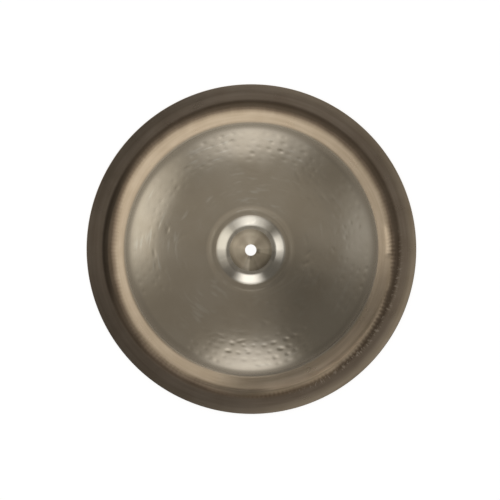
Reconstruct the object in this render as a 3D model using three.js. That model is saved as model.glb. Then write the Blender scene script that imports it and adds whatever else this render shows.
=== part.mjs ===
// China cymbal, lying bell up. Millimetres, +Z up, origin on the hole's axis at the lowest ring.
// The real one is a single sheet of bell bronze: rolled, pressed to form, hammered and turned.
// So the model is one thin shell. Its section is written as a run of straight stretches and
// round bends, each with a slope in degrees, where a positive slope falls away from the axis.
import * as THREE from 'three';

// Plan sizes of the upper face
const diameter = 355.6;
const holeDiameter = 12;
const seatWidth = 7;
const bellDiameter = 81;
const bandWidth = 23.6;
const lipWidth = 19.2;

// Widths of the narrow rings
const landWidth = 2.8;
const flankWidth = 7.1;
const toeWidth = 3.3;
const collarWidth = 6;
const ledgeWidth = 7;
const gutterWidth = 4.6;

// Radii of the round bends
const landBend = 10;
const shoulderBend = 5;
const footBend = 8;
const bandBend = 6;
const gutterBend = 4;
const lipBend = 26;

// Wall, thick at the hole and thin at the rim
const holeWall = 1.15;
const rimWall = 0.75;

// Slopes of the stretches
const crownSlope = 8;
const landSlope = 2.5;
const flankUpperSlope = 31;
const flankLowerSlope = 27;
const toeSlope = 9;
const collarInnerSlope = 1;
const collarRingSlope = 10;
const bowInnerSlope = 2.5;
const bowOuterSlope = 13;
const ledgeSlope = 6;
const bandSlope = 39;
const gutterSlope = 10;
const lipInnerSlope = -7;
const lipRimSlope = -12;

// Hammer marks: rows of shallow dishes in the bow, with more of them in the outer rows
const hammerDepth = 0.35;
const hammerRowShares = [0.375, 0.625, 0.875];
const hammerRowCounts = [14, 21, 28];
const hammerReachShare = 0.125;

// Facets round the axis
const facetsRound = 84;

const rimRadius = diameter / 2;
const bellRadius = bellDiameter / 2;
const holeRadius = holeDiameter / 2;
const valleyRadius = rimRadius - lipWidth;
const gutterRadius = valleyRadius - gutterWidth;
const bandRadius = valleyRadius - bandWidth;
const bowInnerRadius = bellRadius + collarWidth;
const bowOuterRadius = bandRadius - ledgeWidth;
const bowWidth = bowOuterRadius - bowInnerRadius;

function sine(slope) {
  return Math.sin(THREE.MathUtils.degToRad(slope));
}

// Width of a round bend seen from above
function bendWidth(radius, fromSlope, toSlope) {
  return radius * Math.abs(sine(toSlope) - sine(fromSlope));
}

// The stretches from the hole to the rim. Each ends at a radius with a slope, in a number of steps.
// The bell is laid off inwards from its foot, so a wider bell gets a wider crown.
function stretches() {
  const footEnd = bellRadius - toeWidth;
  const footStart = footEnd - bendWidth(footBend, flankLowerSlope, toeSlope);
  const shoulderEnd = footStart - flankWidth;
  const landEnd = shoulderEnd - bendWidth(shoulderBend, landSlope, flankUpperSlope);
  const crownEnd = landEnd - landWidth;
  const landStart = crownEnd + bendWidth(landBend, crownSlope, landSlope);
  const bandStart = bandRadius + bendWidth(bandBend, ledgeSlope, bandSlope);
  const bandEnd = gutterRadius - bendWidth(gutterBend, bandSlope, gutterSlope);
  const lipStart = valleyRadius + bendWidth(lipBend, 0, lipInnerSlope);
  return [
    { name: 'seat', end: holeRadius + seatWidth, slope: 0, steps: 1 },
    { name: 'crown', end: crownEnd, slope: crownSlope, steps: 2 },
    { name: 'crown edge', end: landStart, slope: landSlope, steps: 1 },
    { name: 'land', end: landEnd, slope: landSlope, steps: 1 },
    { name: 'shoulder', end: shoulderEnd, slope: flankUpperSlope, steps: 2 },
    { name: 'flank', end: footStart, slope: flankLowerSlope, steps: 1 },
    { name: 'foot', end: footEnd, slope: toeSlope, steps: 2 },
    { name: 'toe', end: bellRadius, slope: collarInnerSlope, steps: 1 },
    { name: 'collar rise', end: bellRadius + collarWidth / 2, slope: collarRingSlope, steps: 1 },
    { name: 'collar fall', end: bowInnerRadius, slope: bowInnerSlope, steps: 1 },
    { name: 'bow', end: bowOuterRadius, slope: bowOuterSlope, steps: 8 },
    { name: 'ledge', end: bandRadius, slope: ledgeSlope, steps: 2 },
    { name: 'band bend', end: bandStart, slope: bandSlope, steps: 2 },
    { name: 'band', end: bandEnd, slope: bandSlope, steps: 1 },
    { name: 'gutter bend', end: gutterRadius, slope: gutterSlope, steps: 2 },
    { name: 'gutter', end: valleyRadius, slope: 0, steps: 1 },
    { name: 'lip bend', end: lipStart, slope: lipInnerSlope, steps: 1 },
    { name: 'lip', end: rimRadius, slope: lipRimSlope, steps: 2 },
  ];
}

// Points of the upper face. Along a bend the slope's sine grows evenly with the radius,
// which makes the bend an arc, and equal sines make a straight stretch.
function upperFace() {
  const points = [{ radius: holeRadius, height: 0, slope: 0 }];
  for (const stretch of stretches()) {
    const start = points[points.length - 1];
    const width = stretch.end - start.radius;
    const fromSine = Math.sin(start.slope);
    const toSine = sine(stretch.slope);
    for (let step = 1; step <= stretch.steps; step += 1) {
      const share = step / stretch.steps;
      const slope = Math.asin(THREE.MathUtils.lerp(fromSine, toSine, share));
      const chordSlope = (start.slope + slope) / 2;
      points.push({
        radius: start.radius + width * share,
        height: start.height - width * share * Math.tan(chordSlope),
        slope,
      });
    }
  }
  return points;
}

// The wall is laid off square to the upper face. It is even under the seat, thins evenly from
// there to the rim, and the rim is trimmed upright.
function lowerFace(upper) {
  const seatEdge = holeRadius + seatWidth;
  const lower = upper.map(({ radius, height, slope }) => {
    const share = Math.max(0, (radius - seatEdge) / (rimRadius - seatEdge));
    const wall = THREE.MathUtils.lerp(holeWall, rimWall, share);
    return {
      radius: radius - wall * Math.sin(slope),
      height: height - wall * Math.cos(slope),
    };
  });
  const rim = upper[upper.length - 1];
  lower[lower.length - 1] = {
    radius: rim.radius,
    height: rim.height - rimWall / Math.cos(rim.slope),
  };
  return lower;
}

// The closed section, set down on its lowest point: out along the lower face, back along the upper
function section() {
  const upper = upperFace();
  const lower = lowerFace(upper);
  const lowest = Math.min(...lower.map((point) => point.height));
  const outline = [...lower, ...upper.reverse()];
  const points = outline.map((point) => new THREE.Vector2(point.radius, point.height - lowest));
  points.push(points[0].clone());
  return points;
}

// Depth of the hammered dishes at a place in plan. Both faces take it, so the wall stays even.
function hammering(radius, angle) {
  const place = (radius - bowInnerRadius) / bowWidth;
  let depth = 0;
  hammerRowShares.forEach((rowShare, row) => {
    const offset = Math.abs(place - rowShare) / hammerReachShare;
    if (offset < 1) {
      const across = Math.cos(offset * Math.PI / 2) ** 2;
      const along = (1 + Math.cos(hammerRowCounts[row] * angle)) / 2;
      depth += hammerDepth * across * along ** 2;
    }
  });
  return depth;
}

function cymbalGeometry() {
  const geometry = new THREE.LatheGeometry(section(), facetsRound);
  geometry.rotateX(Math.PI / 2);
  const position = geometry.getAttribute('position');
  for (let index = 0; index < position.count; index += 1) {
    const radius = Math.hypot(position.getX(index), position.getY(index));
    const angle = Math.atan2(position.getY(index), position.getX(index));
    position.setZ(index, position.getZ(index) - hammering(radius, angle));
  }
  geometry.computeVertexNormals();
  return geometry;
}

const bronze = new THREE.MeshStandardMaterial({ color: 0xb8a282, metalness: 1, roughness: 0.35 });
const cymbal = new THREE.Mesh(cymbalGeometry(), bronze);
cymbal.name = 'cymbal';

const assembly = new THREE.Group();
assembly.add(cymbal);

export default assembly;
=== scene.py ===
# China cymbal: the fine surface, its bronze, the studio and the camera. Metres and degrees.
import math

import bpy
import numpy as np
from mathutils import Matrix, Vector


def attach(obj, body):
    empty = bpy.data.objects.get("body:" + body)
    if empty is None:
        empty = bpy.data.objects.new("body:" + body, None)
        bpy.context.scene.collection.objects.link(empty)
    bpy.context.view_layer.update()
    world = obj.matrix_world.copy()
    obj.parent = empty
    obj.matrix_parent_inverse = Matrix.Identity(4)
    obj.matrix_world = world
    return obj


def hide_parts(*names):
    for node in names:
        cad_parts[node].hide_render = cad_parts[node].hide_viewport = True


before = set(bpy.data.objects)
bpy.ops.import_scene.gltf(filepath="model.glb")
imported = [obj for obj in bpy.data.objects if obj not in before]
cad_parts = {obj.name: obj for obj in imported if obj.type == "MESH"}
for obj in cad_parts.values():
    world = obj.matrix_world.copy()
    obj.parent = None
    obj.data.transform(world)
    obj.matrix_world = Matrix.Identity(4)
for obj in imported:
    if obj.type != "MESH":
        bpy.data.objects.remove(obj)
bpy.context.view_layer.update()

MM = 0.001
SEED = 14
rng = np.random.default_rng(SEED)

# Section of the upper face, the same as the solid's
RIM_RADIUS = 177.8 * MM
HOLE_RADIUS = 6 * MM
SEAT_WIDTH = 7 * MM
BELL_RADIUS = 40.5 * MM
BAND_WIDTH = 23.6 * MM
LIP_WIDTH = 19.2 * MM
LAND_WIDTH = 2.8 * MM
FLANK_WIDTH = 7.1 * MM
TOE_WIDTH = 3.3 * MM
COLLAR_WIDTH = 6 * MM
LEDGE_WIDTH = 7 * MM
GUTTER_WIDTH = 4.6 * MM
LAND_BEND = 10 * MM
SHOULDER_BEND = 5 * MM
FOOT_BEND = 8 * MM
BAND_BEND = 6 * MM
GUTTER_BEND = 4 * MM
LIP_BEND = 26 * MM
HOLE_WALL = 1.15 * MM
RIM_WALL = 0.75 * MM
CROWN_SLOPE = 8
LAND_SLOPE = 2.5
FLANK_UPPER_SLOPE = 31
FLANK_LOWER_SLOPE = 27
TOE_SLOPE = 9
COLLAR_INNER_SLOPE = 1
COLLAR_RING_SLOPE = 10
BOW_INNER_SLOPE = 2.5
BOW_OUTER_SLOPE = 13
LEDGE_SLOPE = 6
BAND_SLOPE = 39
GUTTER_SLOPE = 10
LIP_INNER_SLOPE = -7
LIP_RIM_SLOPE = -12


def sine(slope):
    return math.sin(math.radians(slope))


def cosine(angle):
    return math.cos(math.radians(angle))


def bend_width(radius, start, end):
    return radius * abs(sine(end) - sine(start))


def steps_from(radius, *distances):
    """Radii at some distances from a radius, in millimetres."""
    return tuple(radius + distance * MM for distance in distances)


# Radii where the stretches of the section meet
FOOT_END = BELL_RADIUS - TOE_WIDTH
FOOT_START = FOOT_END - bend_width(FOOT_BEND, FLANK_LOWER_SLOPE, TOE_SLOPE)
SHOULDER_END = FOOT_START - FLANK_WIDTH
LAND_END = SHOULDER_END - bend_width(SHOULDER_BEND, LAND_SLOPE, FLANK_UPPER_SLOPE)
CROWN_RADIUS = LAND_END - LAND_WIDTH
LAND_START = CROWN_RADIUS + bend_width(LAND_BEND, CROWN_SLOPE, LAND_SLOPE)
VALLEY_RADIUS = RIM_RADIUS - LIP_WIDTH
GUTTER_RADIUS = VALLEY_RADIUS - GUTTER_WIDTH
BAND_RADIUS = VALLEY_RADIUS - BAND_WIDTH
BOW_INNER = BELL_RADIUS + COLLAR_WIDTH
BOW_OUTER = BAND_RADIUS - LEDGE_WIDTH
BAND_START = BAND_RADIUS + bend_width(BAND_BEND, LEDGE_SLOPE, BAND_SLOPE)
BAND_END = GUTTER_RADIUS - bend_width(GUTTER_BEND, BAND_SLOPE, GUTTER_SLOPE)
LIP_START = VALLEY_RADIUS + bend_width(LIP_BEND, 0, LIP_INNER_SLOPE)

# Facets round the axis: the bell, the bow, the outer rings. The lower face has about every third ring of
# the upper one, and half the facets outside the bell, as its marks are weaker.
BELL_FACETS = 240
BOW_FACETS = 480
OUTER_FACETS = 960
LOWER_SPACING = 3

# The hole's edges are eased and the rim is round, which the solid leaves out. The rim's points turn
# these degrees from the upper face's normal towards the lower face.
HOLE_EASE = 0.15 * MM
RIM_TURNS = (45, 90, 135)


def upper_section():
    """Rows of (radius, height, slope, facets) from the hole to the rim, with the hole at height 0.
    Each stretch is the radius where it ends, its slope there, its steps and its facets."""
    stretches = (
        (HOLE_RADIUS + 2 * HOLE_EASE, 0, 1, BELL_FACETS),
        (HOLE_RADIUS + SEAT_WIDTH, 0, 4, BELL_FACETS),
        (CROWN_RADIUS, CROWN_SLOPE, 6, BELL_FACETS),
        (LAND_START, LAND_SLOPE, 3, BELL_FACETS),
        (LAND_END, LAND_SLOPE, 2, BELL_FACETS),
        (SHOULDER_END, FLANK_UPPER_SLOPE, 8, BELL_FACETS),
        (FOOT_START, FLANK_LOWER_SLOPE, 4, BELL_FACETS),
        (FOOT_END, TOE_SLOPE, 7, BELL_FACETS),
        (BELL_RADIUS, COLLAR_INNER_SLOPE, 5, BELL_FACETS),
        (BELL_RADIUS + COLLAR_WIDTH / 2, COLLAR_RING_SLOPE, 5, BELL_FACETS),
        (BOW_INNER, BOW_INNER_SLOPE, 5, BELL_FACETS),
        (BOW_OUTER, BOW_OUTER_SLOPE, 70, BOW_FACETS),
        (BAND_RADIUS, LEDGE_SLOPE, 6, BOW_FACETS),
        (BAND_START, BAND_SLOPE, 7, OUTER_FACETS),
        (BAND_END, BAND_SLOPE, 8, OUTER_FACETS),
        (GUTTER_RADIUS, GUTTER_SLOPE, 5, OUTER_FACETS),
        (VALLEY_RADIUS, 0, 4, OUTER_FACETS),
        (LIP_START, LIP_INNER_SLOPE, 3, OUTER_FACETS),
        (RIM_RADIUS - RIM_WALL, LIP_RIM_SLOPE, 4, OUTER_FACETS),
        (RIM_RADIUS - RIM_WALL / 2, LIP_RIM_SLOPE, 1, OUTER_FACETS),
    )
    rows = [(HOLE_RADIUS + HOLE_EASE, 0.0, 0.0, BELL_FACETS)]
    for end, end_slope, steps, facets in stretches:
        radius, height, slope, _ = rows[-1]
        start_radius, start_sine, end_sine = radius, math.sin(slope), sine(end_slope)
        for step in range(1, steps + 1):
            share = step / steps
            new_slope = math.asin(start_sine + (end_sine - start_sine) * share)
            new_radius = start_radius + (end - start_radius) * share
            height -= (new_radius - radius) * math.tan((slope + new_slope) / 2)
            radius, slope = new_radius, new_slope
            rows.append((radius, height, slope, facets))
    return rows


def wall_at(radius):
    seat_edge = HOLE_RADIUS + SEAT_WIDTH
    share = max(0.0, (radius - seat_edge) / (RIM_RADIUS - seat_edge))
    return HOLE_WALL + (RIM_WALL - HOLE_WALL) * share


# A slow unevenness of the whole sheet, weaker off the bow. A field is (waves, shortest, longest).
UNDULATION_FIELD = (40, 25 * MM, 70 * MM)
UNDULATION_DEPTH = 0.06 * MM
UNDULATION_OFF_BOW = 0.12

# Rows of small hammer dishes in the bow, deeper from DISH_START on, and stronger in groups
DISH_PITCH = 11.2 * MM
DISH_FIRST_ROW = 52.8 * MM
DISH_ROW = 7.2 * MM
DISH_RADIUS = 2.5 * MM
DISH_DEPTH = 0.085 * MM
DISH_START = (92 * MM, 108 * MM)
DISH_INNER_STRENGTH = 0.25
DISH_SHIFT_ALONG = 0.16
DISH_SHIFT_ACROSS = 0.15
DISH_SIZES = (0.8, 1.3)
DISH_DEPTHS = (0.3, 1.25)
DISH_STRETCHES = (1.2, 1.9)
DISH_TURN = 0.3
DISH_GROUP_FIELD = (16, 20 * MM, 60 * MM)
DISH_GROUP_STRENGTH = 0.8
DISH_GROUP_SWING = 0.7
DISH_GROUP_LIMITS = (0.3, 1.2)
BOW_FADE = (*steps_from(BOW_INNER, 0, 15), *steps_from(BOW_OUTER, -3, 2))

# Where the bow was hammered less: (azimuth, reach, loss), with all of the loss within the core
DISH_SOFT_SECTORS = ((10, 60, 0.1), (172, 60, 0.6))
SOFT_CORE_SHARE = 1 / 3

# Long loose dents
DENT_COUNT = 90
DENT_DEPTH = 0.07 * MM
DENT_RING = (BOW_INNER + 6 * MM, BOW_OUTER - 20 * MM)
DENT_RADII = (1.8 * MM, 3 * MM)
DENT_DEPTHS = (0.4, 1)
DENT_STRETCHES = (2, 4)
DENT_TURN = 0.7

# Flutes from the press at the band's foot, strongest at the lower right
FLUTE_COUNT = 214
FLUTE_DEPTH = 0.05 * MM
FLUTE_AZIMUTH = math.radians(-42)
FLUTE_RING = steps_from(VALLEY_RADIUS, -9.5, -4.5, -1, 9)
FLUTE_STRENGTH = 0.32
FLUTE_PATCHINESS = 0.35
FLUTE_PATCH_FIELD = (12, 15 * MM, 50 * MM)
FLUTE_TURN = 0.36
FLUTE_SWAY = 1.2
FLUTE_SWAY_FIELD = (12, 30 * MM, 90 * MM)

# A fluted knock in the band's foot, at the right
KNOCK_AZIMUTH = math.radians(4)
KNOCK_HALF_WIDTH = math.radians(8)
KNOCK_CORE_SHARE = 0.6
KNOCK_RADIUS = BAND_END - 2.2 * MM
KNOCK_REACH = 6.5 * MM
KNOCK_HEIGHT = 0.76 * MM
KNOCK_FLUTE_COUNT = 230
KNOCK_FLUTE_DEPTH = 0.10 * MM

# Share of the marks that the lower face shows
LOWER_MARKS = 0.6


def waves(count, shortest, longest):
    """A seeded smooth height field as plane waves: rows of (kx, ky, phase)."""
    lengths = rng.uniform(shortest, longest, count)
    turns = rng.uniform(0, 2 * math.pi, count)
    phases = rng.uniform(0, 2 * math.pi, count)
    pitch = 2 * math.pi / lengths
    return np.stack((pitch * np.cos(turns), pitch * np.sin(turns), phases), 1)


def wave_height(x, y, table):
    """The field's height, about 1 at its highest places."""
    total = np.zeros_like(x)
    for kx, ky, phase in table:
        total += np.cos(kx * x + ky * y + phase)
    return total / math.sqrt(len(table) / 2) / 2


def swing(limit):
    return rng.uniform(-limit, limit)


def smooth_step(value, low, high):
    share = np.clip((value - low) / (high - low), 0, 1)
    return share * share * (3 - 2 * share)


def ring_share(radius, inner, inner_edge, outer_edge, outer):
    """1 between two radii, with soft edges."""
    return smooth_step(radius, inner, inner_edge) * (1 - smooth_step(radius, outer_edge, outer))


def sector_strength(angle):
    """How hard the bow was hammered at an angle round the axis."""
    strength = 1.0
    for azimuth, reach, loss in DISH_SOFT_SECTORS:
        turn = abs((math.degrees(angle) - azimuth + 180) % 360 - 180)
        strength -= loss * (1 - smooth_step(turn, reach * SOFT_CORE_SHARE, reach))
    return strength


def group_strength(x, y):
    """How hard the bow was hammered at a place, as the blows fell in groups."""
    height = wave_height(np.array([x]), np.array([y]), DISH_GROUPS)[0]
    return np.clip(DISH_GROUP_STRENGTH + DISH_GROUP_SWING * height, *DISH_GROUP_LIMITS)


def hammer_marks():
    """Rows of (x, y, radius, depth, stretch, turn): rings of dishes in the bow, then long dents."""
    marks = []
    radius = DISH_FIRST_ROW
    while radius < BOW_OUTER:
        count = int(2 * math.pi * radius / DISH_PITCH)
        start = rng.uniform(0, 2 * math.pi)
        row_strength = DISH_INNER_STRENGTH + smooth_step(radius, *DISH_START)
        for index in range(count):
            angle = start + 2 * math.pi * (index + swing(DISH_SHIFT_ALONG)) / count
            place = radius + swing(DISH_SHIFT_ACROSS) * DISH_ROW
            x, y = place * math.cos(angle), place * math.sin(angle)
            size = DISH_RADIUS * rng.uniform(*DISH_SIZES)
            depth = DISH_DEPTH * row_strength * sector_strength(angle) * rng.uniform(*DISH_DEPTHS)
            depth *= group_strength(x, y)
            stretch = rng.uniform(*DISH_STRETCHES)
            marks.append((x, y, size, depth, stretch, angle + math.pi / 2 + swing(DISH_TURN)))
        radius += DISH_ROW
    for _ in range(DENT_COUNT):
        angle = rng.uniform(0, 2 * math.pi)
        place = rng.uniform(*DENT_RING)
        size = rng.uniform(*DENT_RADII)
        depth = DENT_DEPTH * rng.uniform(*DENT_DEPTHS)
        stretch = rng.uniform(*DENT_STRETCHES)
        turn = angle + math.pi / 2 + swing(DENT_TURN)
        marks.append((place * math.cos(angle), place * math.sin(angle), size, depth, stretch, turn))
    return marks


def flutes(x, y, radius, angle):
    """Height of the flutes at the band's foot."""
    patches = FLUTE_PATCHINESS * wave_height(x, y, FLUTE_PATCHES)
    strength = np.clip(FLUTE_STRENGTH + patches + FLUTE_TURN * np.cos(angle - FLUTE_AZIMUTH), 0, 1)
    sway = FLUTE_SWAY * wave_height(x, y, FLUTE_SWAYS)
    return FLUTE_DEPTH * ring_share(radius, *FLUTE_RING) * strength * np.cos(FLUTE_COUNT * angle + sway)


def knock(radius, angle):
    """Height of the knock at the right."""
    turn = np.abs((angle - KNOCK_AZIMUTH + math.pi) % (2 * math.pi) - math.pi)
    across = np.clip(1 - ((radius - KNOCK_RADIUS) / KNOCK_REACH) ** 2, 0, 1) ** 2
    along = 1 - smooth_step(turn, KNOCK_HALF_WIDTH * KNOCK_CORE_SHARE, KNOCK_HALF_WIDTH)
    return across * along * (KNOCK_HEIGHT + KNOCK_FLUTE_DEPTH * np.cos(KNOCK_FLUTE_COUNT * angle))


def relief(x, y):
    """Height of the marks over the plain upper face, square to it."""
    radius = np.hypot(x, y)
    angle = np.arctan2(y, x)
    bow = ring_share(radius, *BOW_FADE)
    unevenness = UNDULATION_OFF_BOW + (1 - UNDULATION_OFF_BOW) * bow
    height = UNDULATION_DEPTH * wave_height(x, y, UNDULATION) * unevenness
    for mark_x, mark_y, size, depth, stretch, turn in MARKS:
        reach = size * stretch
        near = np.nonzero((np.abs(x - mark_x) < reach) & (np.abs(y - mark_y) < reach))[0]
        dx, dy = x[near] - mark_x, y[near] - mark_y
        along = (dx * math.cos(turn) + dy * math.sin(turn)) / reach
        across = (dy * math.cos(turn) - dx * math.sin(turn)) / size
        inside = np.clip(1 - along ** 2 - across ** 2, 0, 1)
        height[near] -= depth * inside ** 2 * bow[near]
    return height + flutes(x, y, radius, angle) + knock(radius, angle)


UNDULATION = waves(*UNDULATION_FIELD)
FLUTE_SWAYS = waves(*FLUTE_SWAY_FIELD)
FLUTE_PATCHES = waves(*FLUTE_PATCH_FIELD)
DISH_GROUPS = waves(*DISH_GROUP_FIELD)
MARKS = hammer_marks()


def section_rings():
    """Rings round the whole sheet: (radius, height, slope, facets, share of the marks), the upper face
    going out, the rounded rim, the lower face coming in, and the hole's wall."""
    upper = upper_section()
    rings = [(radius, height, slope, facets, 1.0) for radius, height, slope, facets in upper]
    radius, height, slope, _ = upper[-1]
    half = RIM_WALL / 2
    centre = (radius - half * math.sin(slope), height - half * math.cos(slope))
    for turn in RIM_TURNS:
        tilt = slope + math.radians(turn)
        out, up = half * math.sin(tilt), half * math.cos(tilt)
        rings.append((centre[0] + out, centre[1] + up, tilt, OUTER_FACETS, 0.0))
    lower = upper[::-1]
    for index, (radius, height, slope, facets) in enumerate(lower):
        if 1 < index < len(lower) - 2 and index % LOWER_SPACING:
            continue
        wall = wall_at(radius)
        if facets > BELL_FACETS and index:
            facets //= 2
        radius, height = radius - wall * math.sin(slope), height - wall * math.cos(slope)
        rings.append((radius, height, slope, facets, LOWER_MARKS))
    rings.append((HOLE_RADIUS, HOLE_EASE - HOLE_WALL, -math.pi / 2, BELL_FACETS, 0.0))
    rings.append((HOLE_RADIUS, -HOLE_EASE, -math.pi / 2, BELL_FACETS, 0.0))
    return rings


def ring_faces(first, first_count, second, second_count):
    """Faces between two rings. Where one has twice the facets, three triangles fill each step."""
    faces = []
    if first_count == second_count:
        for index in range(first_count):
            after = (index + 1) % first_count
            faces.append((first + index, second + index, second + after, first + after))
        return faces
    if first_count * 2 == second_count:
        for index in range(first_count):
            after = (index + 1) % first_count
            low, middle = second + 2 * index, second + 2 * index + 1
            high = second + (2 * index + 2) % second_count
            faces.append((first + index, low, middle))
            faces.append((first + index, middle, first + after))
            faces.append((middle, high, first + after))
        return faces
    return [face[::-1] for face in ring_faces(second, second_count, first, first_count)]


def build_cymbal():
    rings = section_rings()
    lowest = min(height for _, height, _, _, _ in rings)
    points, faces, starts = [], [], []
    for radius, height, slope, facets, marks in rings:
        starts.append(sum(len(block) for block in points))
        angle = np.arange(facets) * 2 * math.pi / facets
        x, y = radius * np.cos(angle), radius * np.sin(angle)
        lift = relief(x, y) * marks
        out, up = lift * math.sin(slope), lift * math.cos(slope)
        points.append(np.stack((x + out * np.cos(angle), y + out * np.sin(angle), height - lowest + up), 1))
    counts = [ring[3] for ring in rings]
    for index in range(len(rings)):
        after = (index + 1) % len(rings)
        faces += ring_faces(starts[index], counts[index], starts[after], counts[after])
    mesh = bpy.data.meshes.new("bronze_sheet")
    mesh.from_pydata(np.concatenate(points).tolist(), [], faces)
    mesh.polygons.foreach_set("use_smooth", [True] * len(mesh.polygons))
    for material in (turned_crown(), turned_bronze(), raw_bronze()):
        mesh.materials.append(material)
    splits = (CROWN_RADIUS, BAND_RADIUS)
    for face in mesh.polygons:
        face.material_index = sum(face.center.xy.length > split for split in splits)
    mesh.update()
    sheet = bpy.data.objects.new("bronze_sheet", mesh)
    bpy.context.scene.collection.objects.link(sheet)
    return sheet


class Nodes:
    """Short calls for a material's or world's node tree."""

    def __init__(self, tree):
        self.tree = tree
        tree.nodes.clear()

    def link_or_set(self, socket, value):
        if isinstance(value, bpy.types.NodeSocket):
            self.tree.links.new(value, socket)
        else:
            socket.default_value = value

    def add(self, kind, inputs=None, **settings):
        node = self.tree.nodes.new(kind)
        for name, value in settings.items():
            setattr(node, name, value)
        for name, value in (inputs or {}).items():
            self.link_or_set(node.inputs[name], value)
        return node

    def math(self, operation, first, second=0.0):
        return self.add("ShaderNodeMath", {0: first, 1: second}, operation=operation).outputs[0]

    def product(self, *factors):
        result = factors[0]
        for factor in factors[1:]:
            result = self.math("MULTIPLY", result, factor)
        return result

    def span(self, value, low, high, out_low=0.0, out_high=1.0):
        """A soft step from out_low to out_high, as the value goes from low to high."""
        limits = {"Value": value, "From Min": low, "From Max": high, "To Min": out_low, "To Max": out_high}
        return self.add("ShaderNodeMapRange", limits, interpolation_type="SMOOTHSTEP").outputs["Result"]

    def blend(self, share, first, second, mode="MIX"):
        """A mix of two colours. The node's colour sockets are 6 and 7, and its colour output is 2."""
        node = self.add("ShaderNodeMix", data_type="RGBA", blend_type=mode)
        for index, value in ((0, share), (6, first), (7, second)):
            self.link_or_set(node.inputs[index], value)
        return node.outputs[2]

    def noise(self, vector, scale, detail):
        inputs = {"Vector": vector, "Scale": scale, "Detail": detail}
        return self.add("ShaderNodeTexNoise", inputs).outputs["Fac"]

    def ring_noise(self, radius, angle, radius_scale, angle_scale, detail):
        """Noise that follows the rings: short across them and long round them."""
        across = self.math("MULTIPLY", radius, radius_scale)
        along_x = self.math("MULTIPLY", self.math("COSINE", angle), angle_scale)
        along_y = self.math("MULTIPLY", self.math("SINE", angle), angle_scale)
        place = self.add("ShaderNodeCombineXYZ", {0: across, 1: along_x, 2: along_y})
        return self.noise(place.outputs[0], 1.0, detail)

    def place(self):
        """The point on the sheet, its distance from the axis and its angle round it."""
        point = self.add("ShaderNodeTexCoord").outputs["Object"]
        flat = self.add("ShaderNodeVectorMath", {0: point, 1: (1, 1, 0)}, operation="MULTIPLY").outputs[0]
        radius = self.add("ShaderNodeVectorMath", {0: flat}, operation="LENGTH").outputs["Value"]
        parts = self.add("ShaderNodeSeparateXYZ", {0: point})
        angle = self.math("ARCTAN2", parts.outputs[1], parts.outputs[0])
        return point, radius, angle

    def ring(self, radius, inner, inner_edge, outer_edge, outer):
        """1 between two radii, with soft edges."""
        return self.product(self.span(radius, inner, inner_edge), self.span(radius, outer, outer_edge))

    def sector(self, angle, azimuth, reach, core=0, least=0.0, most=1.0):
        """The most within core degrees of an azimuth, and the least beyond reach."""
        turn = self.math("COSINE", self.math("SUBTRACT", angle, math.radians(azimuth)))
        return self.span(turn, cosine(reach), cosine(core), least, most)

    def zone(self, radius, angle, ring, sector):
        """The share of a mark that has a ring, a sector or both. The other may be None."""
        shares = []
        if sector:
            shares.append(self.sector(angle, *sector))
        if ring:
            shares.append(self.ring(radius, *ring))
        return self.product(*shares)

    def shade(self, share, colour, factor):
        """The colour times a factor, as far as share says."""
        return self.blend(share, colour, self.blend(1.0, colour, (*factor, 1), "MULTIPLY"))

    def with_painted_shading(self, colour, radius, angle, marks):
        """The colour under a table of painted light and shade, each row a ring, a sector and a factor."""
        for ring, sector, factor in marks:
            colour = self.shade(self.zone(radius, angle, ring, sector), colour, factor)
        return colour

    def roughness(self, point, radius, least, grain, grain_noise, rings):
        """An uneven roughness, with more of it in some rings."""
        rough = self.math("ADD", least, self.math("MULTIPLY", self.noise(point, *grain_noise), grain))
        for ring, extra in rings:
            rough = self.math("ADD", rough, self.math("MULTIPLY", self.ring(radius, *ring), extra))
        return rough

    def metal(self, colour, rough, grooves=0.0):
        """The surface. Grooves turned round the axis spread its reflections along the radius."""
        inputs = {"Base Color": colour, "Metallic": 1.0, "Roughness": rough}
        if grooves:
            tangent = self.add("ShaderNodeTangent", direction_type="RADIAL", axis="Z")
            inputs["Anisotropic"] = grooves
            inputs["Anisotropic Rotation"] = QUARTER_TURN
            inputs["Tangent"] = tangent.outputs[0]
        shader = self.add("ShaderNodeBsdfPrincipled", inputs)
        self.add("ShaderNodeOutputMaterial", {"Surface": shader.outputs[0]})


QUARTER_TURN = 0.25

# Ends of a ring that goes in to the axis, and of one that goes out past the rim
INMOST = (-2 * MM, -1 * MM)
OUTMOST = (1.0, 2.0)


def new_material(name):
    material = bpy.data.materials.new(name)
    material.use_nodes = True
    return material, Nodes(material.node_tree)


def grey(level):
    return (level, level, level)


def within(edge, end):
    """A ring that is all inside a radius, with a soft edge."""
    return (*INMOST, edge, end)


def beyond(start, edge):
    """A ring that is all outside a radius, with a soft edge."""
    return (start, edge, *OUTMOST)


# In the tables below a ring is (inner, inner edge, outer edge, outer) in metres, and a sector is
# (azimuth, reach, core, least, most) in degrees and shares. A painted shade or light is a ring, a sector
# and a factor for the colour. A noise is (scale, detail), and one that follows the rings (scale across,
# scale round, detail).
# A roughness is (least, grain, the grain's noise, rings with what each adds).
WHITE = (1, 1, 1, 1)
NOISE_RANGE = (0.3, 0.7)

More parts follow.
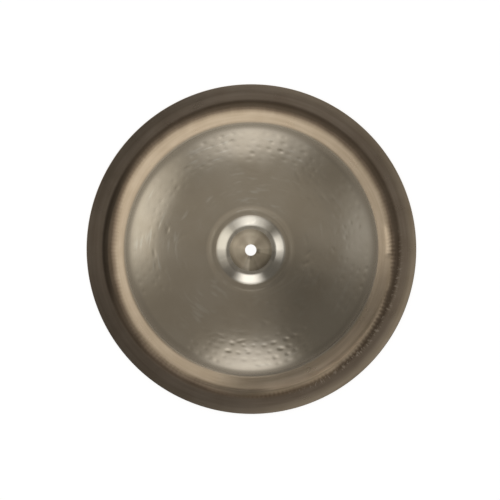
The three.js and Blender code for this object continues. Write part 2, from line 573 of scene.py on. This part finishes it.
# The crown
CROWN_COLOUR = (1.0, 0.88, 0.695, 1)
CROWN_GROOVE_COLOUR = (0.96, 0.83, 0.65, 1)
CROWN_GROOVES = (900.0, 1.5, 2.0)
# Painted light: outside a glow sector towards the upper left the crown's colour is darkened, so that sector
# looks lit.
CROWN_GLOW_SECTOR = (137, 42, 14)
CROWN_PAINTED_SIDE_SHADE = (0.80, 0.80, 0.79)
HOLE_RING = within(HOLE_RADIUS + 2 * MM, HOLE_RADIUS + 6 * MM)
# Painted reflection shade: darker wedges round the crown, a darker ring at its edge, and darker patches
# beside the hole that carry the wedges in to it.
CROWN_PAINTED_SHADES = (
    (None, (80, 16, 6), (0.92, 0.92, 0.91)),
    (None, (256, 13, 5), (0.84, 0.85, 0.86)),
    (None, (305, 45, 37), (0.65, 0.645, 0.63)),
    (None, (280, 17, 9), (0.72, 0.715, 0.70)),
    (None, (20, 42, 12), grey(0.93)),
    (None, (354, 14, 5), (0.84, 0.84, 0.83)),
    (beyond(CROWN_RADIUS - 6 * MM, CROWN_RADIUS), None, (0.60, 0.59, 0.575)),
    (HOLE_RING, (353, 26), grey(0.55)),
    (HOLE_RING, (262, 22), grey(0.6)),
)
CROWN_ROUGHNESS = (0.26, 0.08, (120.0, 3.0), ((within(HOLE_RADIUS + 4 * MM, HOLE_RADIUS + 8 * MM), 0.06),))
CROWN_ANISOTROPY = 0.9

# The bell's flank
FLANK_COLOUR = (0.656, 0.612, 0.532, 1)
FLANK_EDGE = (FOOT_END + 1 * MM, FOOT_START)
FLANK_RING = within(FOOT_START, FOOT_END + 1 * MM)
# Painted shade: wedges that dim the flank's highlights at set azimuths.
FLANK_PAINTED_SHADES = (
    (FLANK_RING, (346, 17, 6), grey(0.74)),
    (FLANK_RING, (188, 12, 4), grey(0.84)),
    (FLANK_RING, (37, 11, 4), grey(0.84)),
    (FLANK_RING, (75, 9, 3), grey(0.92)),
    (FLANK_RING, (129.5, 7, 2), grey(0.88)),
    (FLANK_RING, (225, 14, 6), grey(0.82)),
)

# The bow and its ledge
BOW_COLOUR = (0.64, 0.572, 0.468, 1)
BOW_TONE_COLOUR = (0.604, 0.532, 0.424, 1)
BOW_TONE_NOISE = (30.0, 3.0)
# Pale scratches: real scratches whose paleness is a painted glint, strongest towards the upper left.
STREAK_COLOUR = (0.78, 0.74, 0.65, 1)
STREAK_SECTOR = (145, 130, 60, 0.16, 0.56)
STREAK_WARP = 20 * MM
STREAK_WARP_NOISE = (11.0, 2.0)
STREAK_NOISE = (220.0, 4.0, 1.0)
STREAK_RANGE = (0.53, 0.74)
STREAK_PATCH_NOISE = (24.0, 1.0)
STREAK_PATCH_RANGE = (0.46, 0.62)
COLLAR_RING = steps_from(BELL_RADIUS, 0, 2.5, 5, 8.5)
# Painted light: a brighter ring round the bell's foot, strongest towards the upper left.
COLLAR_PAINTED_LIGHT = ((COLLAR_RING, (125, 110, 35, 0.35), grey(1.2)),)
LEDGE_COLOUR = (0.544, 0.48, 0.388, 1)
LEDGE_EDGE = steps_from(BOW_OUTER, -3, 2)
# Painted shade: the crease at the band's top is darkened towards the lower right.
CREASE_SECTOR = (305, 50, 24)
CREASE_SHADE = grey(0.80)
LEDGE_PAINTED_SHADE = ((beyond(BAND_RADIUS - 2.5 * MM, BAND_RADIUS), CREASE_SECTOR, CREASE_SHADE),)
BOW_ROUGHNESS = (0.11, 0.07, (70.0, 3.0), (
    (within(FOOT_START, FOOT_END + 2 * MM), 0.05),
    (beyond(BOW_OUTER, BAND_RADIUS), 0.12),
))
BOW_ANISOTROPY = 0.5

# The band
BAND_COLOUR = (0.552, 0.452, 0.336, 1)
# Painted light and shade on the band: darker in its top crease, more at the lower right; darker at the bottom
# and a little lighter at the lower left; its foot lighter at the lower right and darker at the bottom.
CREASE_SHADE_RING = (*steps_from(BAND_RADIUS, 0, 1.2), *steps_from(BAND_START, -3, 1.8))
FOOT_LIGHT_RING = steps_from(BAND_END, -11, -5, -1, 3)
FOOT_SHADE_RING = (*steps_from(BAND_END, -3.5, 0.5), *steps_from(GUTTER_RADIUS, 3.5, 6.5))
BAND_PAINTED_SHADES = (
    (CREASE_SHADE_RING, None, (0.74, 0.73, 0.715)),
    (within(*steps_from(BAND_START, -3, 1.8)), CREASE_SECTOR, CREASE_SHADE),
    (None, (277, 26, 6), grey(0.76)),
    (None, (239, 21, 8), grey(1.07)),
    (FOOT_LIGHT_RING, (298, 34, 14), (1.42, 1.43, 1.46)),
    (FOOT_SHADE_RING, (262, 20, 6), grey(0.60)),
)

# The brown skin: how ragged its inner edge is, its teeth, and the sectors where it draws back, or comes
# in where the distance is below 0: (azimuth, reach in degrees, distance). It is softer off the teeth.
SKIN_COLOUR = (0.268, 0.208, 0.152, 1)
SKIN_WIDTH = 7.5 * MM
SKIN_SHARPER = 3.5 * MM
RAGGED_NOISE = (30.0, 9.0, 4.0)
RAGGED_WIDTH = 4 * MM
TOOTH_NOISE = (25.0, 1.0)
TOOTH_RANGE = (0.35, 0.6)
TOOTH_LEAST = 0.2
TOOTH_LENGTH = 0.4 * MM
TOOTH_SWAY = 6.0
TOOTH_SECTOR = (315, 62, 35)
TOOTH_GROWTH = 0.55 * MM
SMOOTH_SECTOR = (80, 62, 35)
TOOTH_LOSS = 0.3 * MM
EDGE_SHIFTS = (
    (292, 50, 5.2 * MM),
    (342, 20, 1.0 * MM),
    (247, 34, 2.4 * MM),
    (213, 24, 1.2 * MM),
    (10, 16, -0.5 * MM),
    (27, 18, -0.3 * MM),
    (70, 32, -0.8 * MM),
    (139, 28, 1.9 * MM),
    (182, 34, -3.4 * MM),
)

# The gutter and the lip
GUTTER_COLOUR = (0.186, 0.144, 0.105, 1)
GUTTER_EDGE = steps_from(GUTTER_RADIUS, -1, 2)
LIP_COLOUR = (0.316, 0.26, 0.206, 1)
LIP_EDGE = steps_from(VALLEY_RADIUS, 0, 4.5)
LIP_RING = steps_from(VALLEY_RADIUS, 1, 4, 8, 12)
# Painted light: a brighter ring in the lip near the gutter, strongest at the top.
LIP_SHINE = ((LIP_RING, (95, 55, 15, 0.4), (1.3, 1.3, 1.32)),)
# The lip is paler towards the rim, most at the right and not at the left.
PALE_RIM_COLOUR = (0.468, 0.392, 0.30, 1)
PALE_RIM_ZONE = (beyond(*steps_from(RIM_RADIUS, -11, -1)), (-8, 130))
LIP_FOOT_RING = steps_from(VALLEY_RADIUS, 1.5, 4, 8, 12)
VALLEY_RING = (*steps_from(GUTTER_RADIUS, 0, 2), *steps_from(VALLEY_RADIUS, 1, 4))
# Painted light and shade: the lip darker at the lower left and its foot darker at the lower right; the valley
# darker at the left and lighter at the lower left and the bottom.
LIP_PAINTED_SHADES = (
    (beyond(*steps_from(VALLEY_RADIUS, 0, 5)), (232, 60, 20), grey(0.62)),
    (LIP_FOOT_RING, (308, 37, 18), (0.77, 0.76, 0.75)),
    (VALLEY_RING, (175, 34, 10), (0.52, 0.53, 0.54)),
    (VALLEY_RING, (243, 26, 10), (1.35, 1.35, 1.38)),
    (VALLEY_RING, (287, 24, 10), (1.3, 1.28, 1.25)),
)

# Pale flecks past the gutter at the lower right
FLECK_COLOUR = (0.56, 0.48, 0.40, 1)
FLECK_NOISE = (240.0, 90.0, 1.0)
FLECK_RANGE = (0.54, 0.64)
FLECK_RING = (*steps_from(GUTTER_RADIUS, 4, 6), *steps_from(VALLEY_RADIUS, 3, 6.5))
FLECK_ZONE = (FLECK_RING, (325, 48, 20, 0.0, 0.7))

# Tarnish outside the bow, in rings and in blotches
TARNISH = 0.8
TARNISH_RING_COLOUR = (0.88, 0.87, 0.845, 1)
TARNISH_RING_NOISE = (420.0, 3.0, 2.0)
TARNISH_BLOTCH_COLOUR = (0.90, 0.88, 0.86, 1)
TARNISH_BLOTCH_NOISE = (40.0, 3.0)
RAW_ROUGHNESS = (0.24, 0.10, (60.0, 3.0), (
    ((*steps_from(BAND_END, -6, 0), *steps_from(VALLEY_RADIUS, -2, 1)), 0.16),
    ((*steps_from(BAND_END, -2, 0), *steps_from(GUTTER_RADIUS, 0, 2)), 0.16),
    # The ring of painted crease shade is also rougher.
    (CREASE_SHADE_RING, 0.22),
))


def turned_crown():
    """The bell's top, turned the coarsest: its reflections are wedges from the hole to the edge, and more
    wedges of light and shade are painted into its colour.
    """
    material, n = new_material("turned_crown")
    point, radius, angle = n.place()
    grooves = n.span(n.ring_noise(radius, angle, *CROWN_GROOVES), *NOISE_RANGE)
    colour = n.blend(grooves, CROWN_GROOVE_COLOUR, CROWN_COLOUR)
    # Painted light: the crown darker outside its glow sector.
    side = n.math("SUBTRACT", 1.0, n.sector(angle, *CROWN_GLOW_SECTOR))
    colour = n.shade(side, colour, CROWN_PAINTED_SIDE_SHADE)
    # Painted wedges of reflection shade, and painted shade at the crown's edge.
    colour = n.with_painted_shading(colour, radius, angle, CROWN_PAINTED_SHADES)
    n.metal(colour, n.roughness(point, radius, *CROWN_ROUGHNESS), CROWN_ANISOTROPY)
    return material


def turned_bronze():
    """The bell and bow: lathe-turned bronze with fine grooves, pale scratches with painted glints, and
    painted light and shade.
    """
    material, n = new_material("turned_bronze")
    point, radius, angle = n.place()
    tone = n.span(n.noise(point, *BOW_TONE_NOISE), *NOISE_RANGE)
    colour = n.blend(tone, BOW_TONE_COLOUR, BOW_COLOUR)
    colour = n.blend(n.span(radius, *FLANK_EDGE), colour, FLANK_COLOUR)
    # Painted shade on the flank's highlights.
    colour = n.with_painted_shading(colour, radius, angle, FLANK_PAINTED_SHADES)
    # Scratches painted pale as glints, more towards the upper left.
    warped = n.math("ADD", radius, n.math("MULTIPLY", n.noise(point, *STREAK_WARP_NOISE), STREAK_WARP))
    streaks = n.span(n.ring_noise(warped, angle, *STREAK_NOISE), *STREAK_RANGE)
    patches = n.span(n.noise(point, *STREAK_PATCH_NOISE), *STREAK_PATCH_RANGE)
    scratch_glints = n.product(streaks, patches, n.sector(angle, *STREAK_SECTOR))
    colour = n.blend(scratch_glints, colour, STREAK_COLOUR)
    # Painted light round the bell's foot.
    colour = n.with_painted_shading(colour, radius, angle, COLLAR_PAINTED_LIGHT)
    colour = n.blend(n.span(radius, *LEDGE_EDGE), colour, LEDGE_COLOUR)
    # Painted shade in the crease.
    colour = n.with_painted_shading(colour, radius, angle, LEDGE_PAINTED_SHADE)
    n.metal(colour, n.roughness(point, radius, *BOW_ROUGHNESS), BOW_ANISOTROPY)
    return material


def skin_edge(n, point, radius, angle):
    """The radius as the brown skin's edge takes it: ragged, toothed, and moved in some sectors."""
    ragged = n.ring_noise(radius, angle, *RAGGED_NOISE)
    phase = n.math("ADD", n.math("MULTIPLY", angle, FLUTE_COUNT), n.math("MULTIPLY", ragged, TOOTH_SWAY))
    strength = n.span(n.noise(point, *TOOTH_NOISE), *TOOTH_RANGE, TOOTH_LEAST, 1.0)
    length = n.sector(angle, *TOOTH_SECTOR, TOOTH_LENGTH, TOOTH_LENGTH + TOOTH_GROWTH)
    length = n.math("SUBTRACT", length, n.sector(angle, *SMOOTH_SECTOR, 0.0, TOOTH_LOSS))
    teeth = n.product(n.math("SINE", phase), strength, length)
    edge = n.math("ADD", radius, n.math("MULTIPLY", n.math("SUBTRACT", ragged, 0.5), RAGGED_WIDTH))
    edge = n.math("ADD", edge, teeth)
    for azimuth, reach, distance in EDGE_SHIFTS:
        edge = n.math("SUBTRACT", edge, n.sector(angle, azimuth, reach, 0, 0.0, distance))
    return edge


def raw_bronze():
    """The band, gutter and lip: unpolished bronze with a brown skin, darker in the gutter, with light and
    shade painted in sectors.
    """
    material, n = new_material("raw_bronze")
    point, radius, angle = n.place()
    colour = n.blend(n.span(radius, BAND_RADIUS, BAND_START), LEDGE_COLOUR, BAND_COLOUR)
    # Painted light and shade on the band.
    colour = n.with_painted_shading(colour, radius, angle, BAND_PAINTED_SHADES)
    edge = skin_edge(n, point, radius, angle)
    skin_start = GUTTER_RADIUS - SKIN_WIDTH
    skin_start = n.sector(angle, *TOOTH_SECTOR, skin_start, skin_start + SKIN_SHARPER)
    colour = n.blend(n.span(edge, skin_start, GUTTER_RADIUS), colour, SKIN_COLOUR)
    colour = n.blend(n.span(edge, *GUTTER_EDGE), colour, GUTTER_COLOUR)
    colour = n.blend(n.span(radius, *LIP_EDGE), colour, LIP_COLOUR)
    # Painted light in the lip.
    colour = n.with_painted_shading(colour, radius, angle, LIP_SHINE)
    # Paler towards the rim, most at the right.
    colour = n.blend(n.zone(radius, angle, *PALE_RIM_ZONE), colour, PALE_RIM_COLOUR)
    # Painted light and shade in the lip and valley.
    colour = n.with_painted_shading(colour, radius, angle, LIP_PAINTED_SHADES)
    flecks = n.span(n.ring_noise(radius, angle, *FLECK_NOISE), *FLECK_RANGE)
    colour = n.blend(n.product(flecks, n.zone(radius, angle, *FLECK_ZONE)), colour, FLECK_COLOUR)
    tarnished = n.span(radius, BAND_RADIUS, BAND_START, 0.0, TARNISH)
    rings = n.span(n.ring_noise(radius, angle, *TARNISH_RING_NOISE), *NOISE_RANGE)
    colour = n.blend(tarnished, colour, n.blend(rings, TARNISH_RING_COLOUR, WHITE), "MULTIPLY")
    blotches = n.span(n.noise(point, *TARNISH_BLOTCH_NOISE), *NOISE_RANGE)
    colour = n.blend(tarnished, colour, n.blend(blotches, TARNISH_BLOTCH_COLOUR, WHITE), "MULTIPLY")
    n.metal(colour, n.roughness(point, radius, *RAW_ROUGHNESS))
    return material


FLOOR_RADIUS = 8.0
FLOOR_SIDES = 64
FLOOR_GREY = (0.8, 0.8, 0.8, 1)
FLOOR_SHADOW_GREY = (0.2, 0.2, 0.2, 1)
FLOOR_GLOW = 0.9


def floor():
    """A pale floor. The camera and mirrored rays see it glow white under the object's faint shadow, and
    a camera below looks through it."""
    bpy.ops.mesh.primitive_circle_add(vertices=FLOOR_SIDES, radius=FLOOR_RADIUS, fill_type="NGON")
    ground = bpy.context.active_object
    ground.name = "floor"
    material, n = new_material("pale_floor")
    path = n.add("ShaderNodeLightPath").outputs
    seen = n.math("MAXIMUM", path["Is Camera Ray"], path["Is Glossy Ray"])
    seen = n.math("MAXIMUM", seen, path["Is Transmission Ray"])
    plain = n.add("ShaderNodeBsdfDiffuse", {"Color": FLOOR_GREY})
    shadow = n.add("ShaderNodeBsdfDiffuse", {"Color": FLOOR_SHADOW_GREY})
    white = n.add("ShaderNodeEmission", {"Color": WHITE, "Strength": FLOOR_GLOW})
    lit = n.add("ShaderNodeAddShader", {0: white.outputs[0], 1: shadow.outputs[0]})
    mixed = n.add("ShaderNodeMixShader", {0: seen, 1: plain.outputs[0], 2: lit.outputs[0]})
    clear = n.add("ShaderNodeBsdfTransparent")
    below = n.math("MULTIPLY", n.add("ShaderNodeNewGeometry").outputs["Backfacing"], path["Is Camera Ray"])
    out = n.add("ShaderNodeMixShader", {0: below, 1: mixed.outputs[0], 2: clear.outputs[0]})
    n.add("ShaderNodeOutputMaterial", {"Surface": out.outputs[0]})
    ground.data.materials.append(material)


# Studio round the cymbal, far off. Angles are degrees: azimuth from +X towards +Y, tilt from straight up.
# Each window is (azimuth, half width, edge softness, tilt of its top edge, radiance there, full radiance,
# warmth).
WINDOWS = (
    (6.5, 21, 17, 19.8, 0.43, 1.79, 0.03),
    (266.5, 19.8, 12, 24.4, 1.01, 2.06, 0.0),
    (165, 27, 20, 22.8, 0.95, 1.29, 0.08),
    (93.5, 22.5, 26, 20.2, 1.05, 1.75, 0.01),
)
WINDOW_TOP_SOFTNESS = 2.5
WINDOW_TAPER = 3.5
WINDOW_TAPER_TILT = (22, 50)
WINDOW_FULL_TILT = (43, 64)
WINDOW_END_TILT = (65, 71)
CEILING_AZIMUTH = 97
CEILING_NEAR = (0.315, 0.298, 0.27, 1)
CEILING_FAR = (0.235, 0.221, 0.20, 1)
CEILING_FALL_TILT = (14, 21)
CEILING_FALL_AZIMUTH = 75
CEILING_FALL = (0.98, 0.66)
CEILING_RISE_TILT = (35, 60)
CEILING_RISE = 1.2
LOW_SHADE_SECTOR = (26, 8)
LOW_SHADE_AZIMUTH = 236
LOW_SHADE_TILT = (24, 50)
LOW_SHADE = 0.62
CARD_AZIMUTH = 311
CARD_EDGE = (52, 4)
CARD_COLOUR = (0.125, 0.118, 0.106, 1)
CARD_LOW_COLOUR = (0.14, 0.134, 0.123, 1)
HORIZON_TILT = (66, 72)
HORIZON_AZIMUTH = 138
HORIZON_EDGE = (-0.9, 1.0)
HORIZON_LOW = (0.575, 0.556, 0.525, 1)
HORIZON_HIGH = (1.1, 1.075, 1.025, 1)
SHADE_AZIMUTH = 307
SHADE_EDGE = (49, 39)
SHADE_COLOUR = (0.198, 0.189, 0.176, 1)

# Keeps the cosine between two headings inside the arc cosine's range
COSINE_GUARD = 0.99999


def studio_world():
    """Four soft windows and a dark card in a dim room over a pale horizon. The camera sees white."""
    world = bpy.data.worlds.new("studio")
    bpy.context.scene.world = world
    world.use_nodes = True
    n = Nodes(world.node_tree)
    direction = n.add("ShaderNodeTexCoord").outputs["Generated"]
    height = n.add("ShaderNodeSeparateXYZ", {0: direction}).outputs[2]
    flat = n.add("ShaderNodeVectorMath", {0: direction, 1: (1, 1, 0)}, operation="MULTIPLY").outputs[0]
    heading = n.add("ShaderNodeVectorMath", {0: flat}, operation="NORMALIZE").outputs[0]

    def towards(azimuth):
        side = (cosine(azimuth), cosine(azimuth - 90), 0.0)
        return n.add("ShaderNodeVectorMath", {0: heading, 1: side}, operation="DOT_PRODUCT").outputs["Value"]

    def degrees_from(azimuth):
        guarded = n.math("MULTIPLY", towards(azimuth), COSINE_GUARD)
        return n.math("MULTIPLY", n.math("ARCCOSINE", guarded), math.degrees(1))

    def tilt(low, high, out_low=0.0, out_high=1.0):
        return n.span(height, cosine(low), cosine(high), out_low, out_high)

    ceiling = n.blend(n.span(towards(CEILING_AZIMUTH), -1.0, 1.0), CEILING_FAR, CEILING_NEAR)
    far, near = CEILING_FALL
    low = n.math("ADD", (far + near) / 2, n.math("MULTIPLY", towards(CEILING_FALL_AZIMUTH), (near - far) / 2))
    fall = n.math("MULTIPLY", tilt(*CEILING_FALL_TILT, 1.0, low), tilt(*CEILING_RISE_TILT, 1.0, CEILING_RISE))
    ceiling = n.blend(1.0, ceiling, fall, "MULTIPLY")
    low_shade = n.product(n.span(degrees_from(LOW_SHADE_AZIMUTH), *LOW_SHADE_SECTOR), tilt(*LOW_SHADE_TILT))
    ceiling = n.shade(low_shade, ceiling, grey(LOW_SHADE))
    card = n.span(degrees_from(CARD_AZIMUTH), *CARD_EDGE)
    ceiling = n.blend(card, ceiling, n.blend(tilt(*CEILING_FALL_TILT), CARD_COLOUR, CARD_LOW_COLOUR))
    horizon = n.blend(n.span(towards(HORIZON_AZIMUTH), *HORIZON_EDGE), HORIZON_LOW, HORIZON_HIGH)
    horizon = n.blend(n.span(degrees_from(SHADE_AZIMUTH), *SHADE_EDGE), horizon, SHADE_COLOUR)
    room = n.blend(tilt(*HORIZON_TILT), ceiling, horizon)
    taper = tilt(*WINDOW_TAPER_TILT, WINDOW_TAPER, 0.0)
    for azimuth, half_width, softness, top, top_radiance, radiance, warmth in WINDOWS:
        across = n.math("ADD", degrees_from(azimuth), taper)
        wide = n.span(across, half_width + softness, half_width - softness)
        upper = tilt(top - WINDOW_TOP_SOFTNESS, top + WINDOW_TOP_SOFTNESS)
        tall = n.math("MULTIPLY", upper, tilt(*WINDOW_END_TILT, 1.0, 0.0))
        level = tilt(*WINDOW_FULL_TILT, top_radiance, radiance)
        light = n.blend(1.0, level, (1.0, 1 - warmth / 4, 1 - warmth, 1), "MULTIPLY")
        room = n.blend(n.math("MULTIPLY", wide, tall), room, light)
    seen = n.add("ShaderNodeLightPath").outputs["Is Camera Ray"]
    colour = n.blend(seen, room, WHITE)
    background = n.add("ShaderNodeBackground", {"Color": colour, "Strength": 1.0})
    n.add("ShaderNodeOutputWorld", {"Surface": background.outputs[0]})


# The photo: 500 pixels square, with the rim's circle measured in it
PICTURE_PIXELS = 500
RIM_CENTRE_PIXEL = (251.22, 249.37)
RIM_RADIUS_PIXELS = 164.98
CAMERA_DISTANCE = 3.0
AIM_HEIGHT = 5 * MM
CAMERA_OFFSET = (0.055, 0.075)
SENSOR = 36.0


def camera(aim_height):
    """Nearly straight above: the offset is what moves the raised bell against the rim in the photo."""
    metres_per_pixel = RIM_RADIUS / RIM_RADIUS_PIXELS
    data = bpy.data.cameras.new("camera")
    data.sensor_width = SENSOR
    eye = bpy.data.objects.new("camera", data)
    half = PICTURE_PIXELS / 2
    target = Vector(((half - RIM_CENTRE_PIXEL[0]) * metres_per_pixel,
                     (RIM_CENTRE_PIXEL[1] - half) * metres_per_pixel,
                     aim_height))
    eye.location = Vector((*CAMERA_OFFSET, CAMERA_DISTANCE + aim_height))
    away = eye.location - target
    data.lens = SENSOR * away.length / (PICTURE_PIXELS * metres_per_pixel)
    back = away.normalized()
    right = Vector((0, 1, 0)).cross(back).normalized()
    up = back.cross(right)
    eye.rotation_euler = Matrix((right, up, back)).transposed().to_euler()
    bpy.context.scene.collection.objects.link(eye)
    bpy.context.scene.camera = eye


sheet = build_cymbal()
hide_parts("cymbal")
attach(sheet, "root")

floor()
studio_world()
camera(AIM_HEIGHT)
bpy.context.scene.view_settings.view_transform = "Standard"
